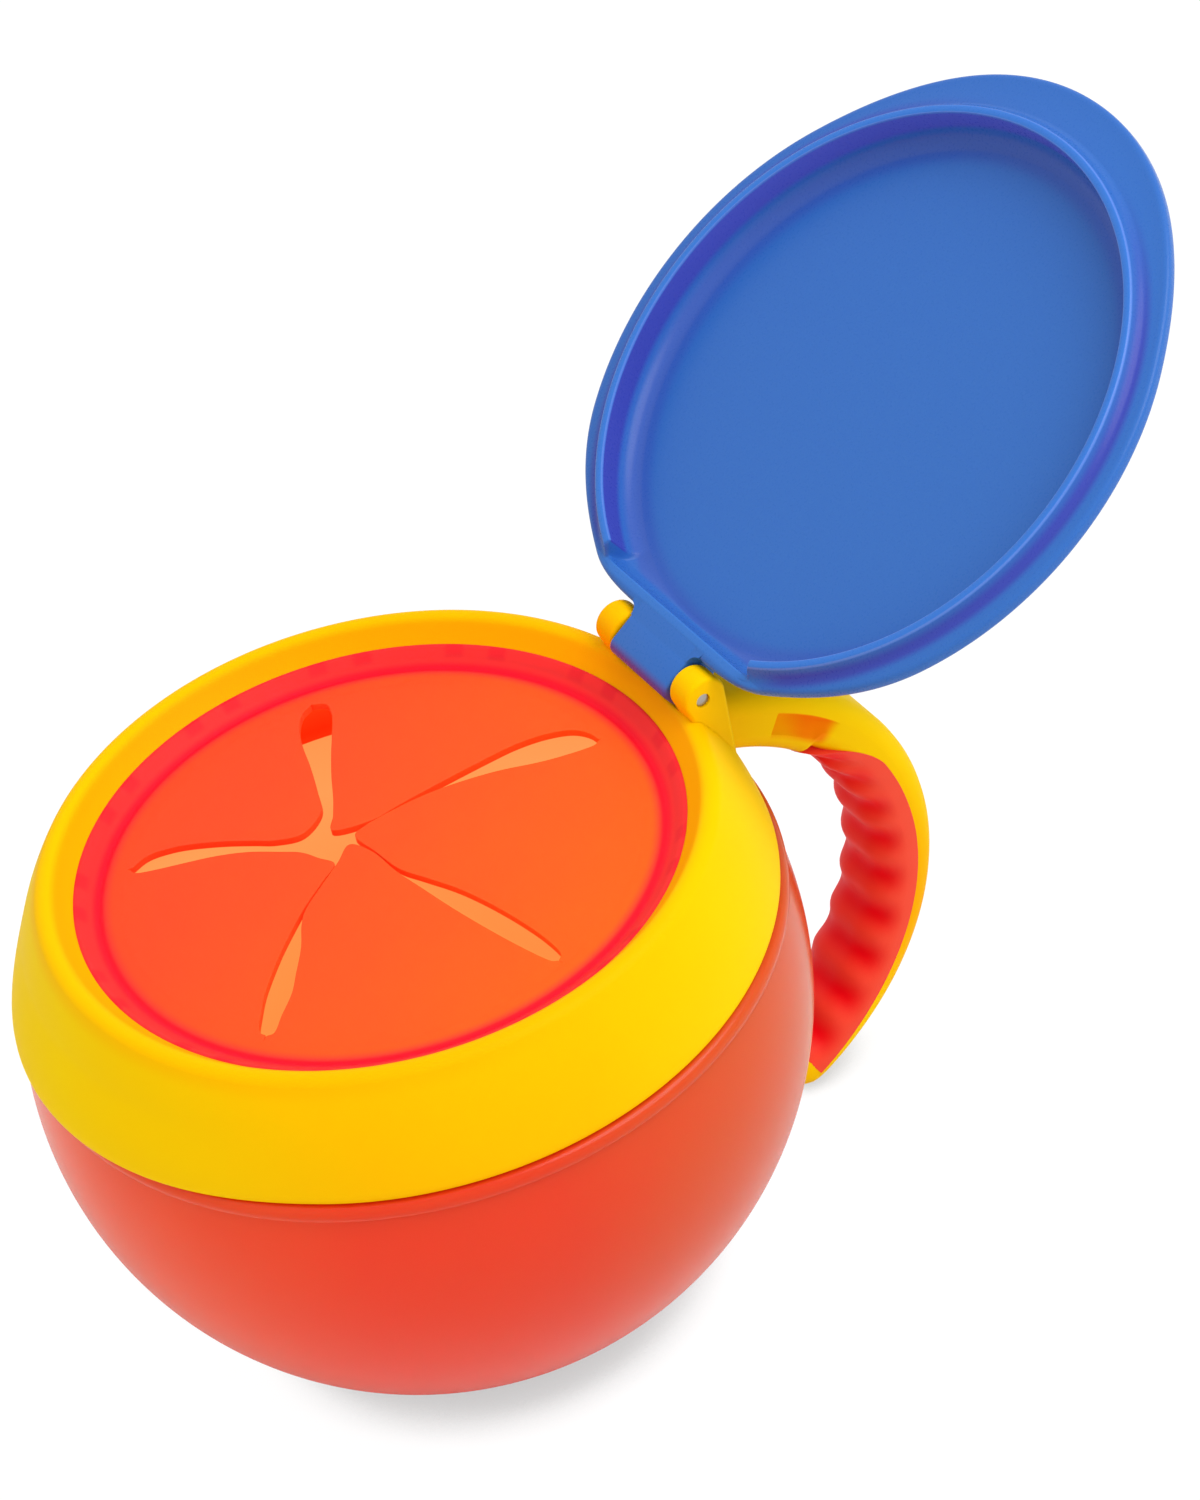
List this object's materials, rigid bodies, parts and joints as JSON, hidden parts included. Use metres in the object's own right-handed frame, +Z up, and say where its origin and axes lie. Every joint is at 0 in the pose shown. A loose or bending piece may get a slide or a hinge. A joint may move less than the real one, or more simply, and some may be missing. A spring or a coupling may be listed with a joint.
{
  "type": "toddler snack container",
  "caption": "Ball-shaped toddler snack container with a twist-off collar, soft slit membrane, hinged lid held open and a C-shaped handle with a ribbed soft grip.",
  "frame": {"origin": "centre of the bowl's flat base, on the surface it stands on", "axes": "+Z up along the bowl's axis, +X from the bowl's axis toward the hinge and handle, +Y to the left of the handle seen from behind it"},
  "size_m": [0.1712, 0.1026, 0.1296],
  "materials": {
    "bowl_plastic": "translucent orange-red, polished",
    "collar_plastic": "warm yellow, satin gloss",
    "grip_rubber": "red soft-touch, satin",
    "membrane_rubber": "orange-red soft rubber, satin",
    "lid_plastic": "blue, satin gloss",
    "pin_steel": "plain steel"
  },
  "bodies": {
    "bowl": {"bowl": "bowl_plastic"},
    "collar": {"collar": "collar_plastic", "handle_arm": "collar_plastic", "grip": "grip_rubber", "membrane_ring": "membrane_rubber", "hinge_pin": "pin_steel"},
    "lid": {"lid": "lid_plastic"},
    "petal_1": {"petal_1": "membrane_rubber"},
    "petal_2": {"petal_2": "membrane_rubber"},
    "petal_3": {"petal_3": "membrane_rubber"},
    "petal_4": {"petal_4": "membrane_rubber"},
    "petal_5": {"petal_5": "membrane_rubber"}
  },
  "joints": [
    {"name": "collar_twist", "type": "hinge", "parent": "bowl", "child": "collar", "pos_m": [0, 0, 0.0755], "axis": [0, 0, 1], "range_deg": [0, 60]},
    {"name": "lid_hinge", "type": "hinge", "parent": "collar", "child": "lid", "pos_m": [0.0434, 0, 0.0808], "axis": [0, -1, 0], "range_deg": [0, 148.6]},
    {"name": "petal_1_flex", "type": "hinge", "parent": "collar", "child": "petal_1", "pos_m": [0.01964, 0.01427, 0.0732], "axis": [0.5878, -0.809, 0], "range_deg": [-50, 50], "stiffness_Nm_per_rad": 0.01},
    {"name": "petal_2_flex", "type": "hinge", "parent": "collar", "child": "petal_2", "pos_m": [-0.0075, 0.02309, 0.0732], "axis": [0.9511, 0.309, 0], "range_deg": [-50, 50], "stiffness_Nm_per_rad": 0.01},
    {"name": "petal_3_flex", "type": "hinge", "parent": "collar", "child": "petal_3", "pos_m": [-0.02428, 0, 0.0732], "axis": [0, 1, 0], "range_deg": [-50, 50], "stiffness_Nm_per_rad": 0.01},
    {"name": "petal_4_flex", "type": "hinge", "parent": "collar", "child": "petal_4", "pos_m": [-0.0075, -0.02309, 0.0732], "axis": [-0.9511, 0.309, 0], "range_deg": [-50, 50], "stiffness_Nm_per_rad": 0.01},
    {"name": "petal_5_flex", "type": "hinge", "parent": "collar", "child": "petal_5", "pos_m": [0.01964, -0.01427, 0.0732], "axis": [-0.5878, -0.809, 0], "range_deg": [-50, 50], "stiffness_Nm_per_rad": 0.01}
  ]
}
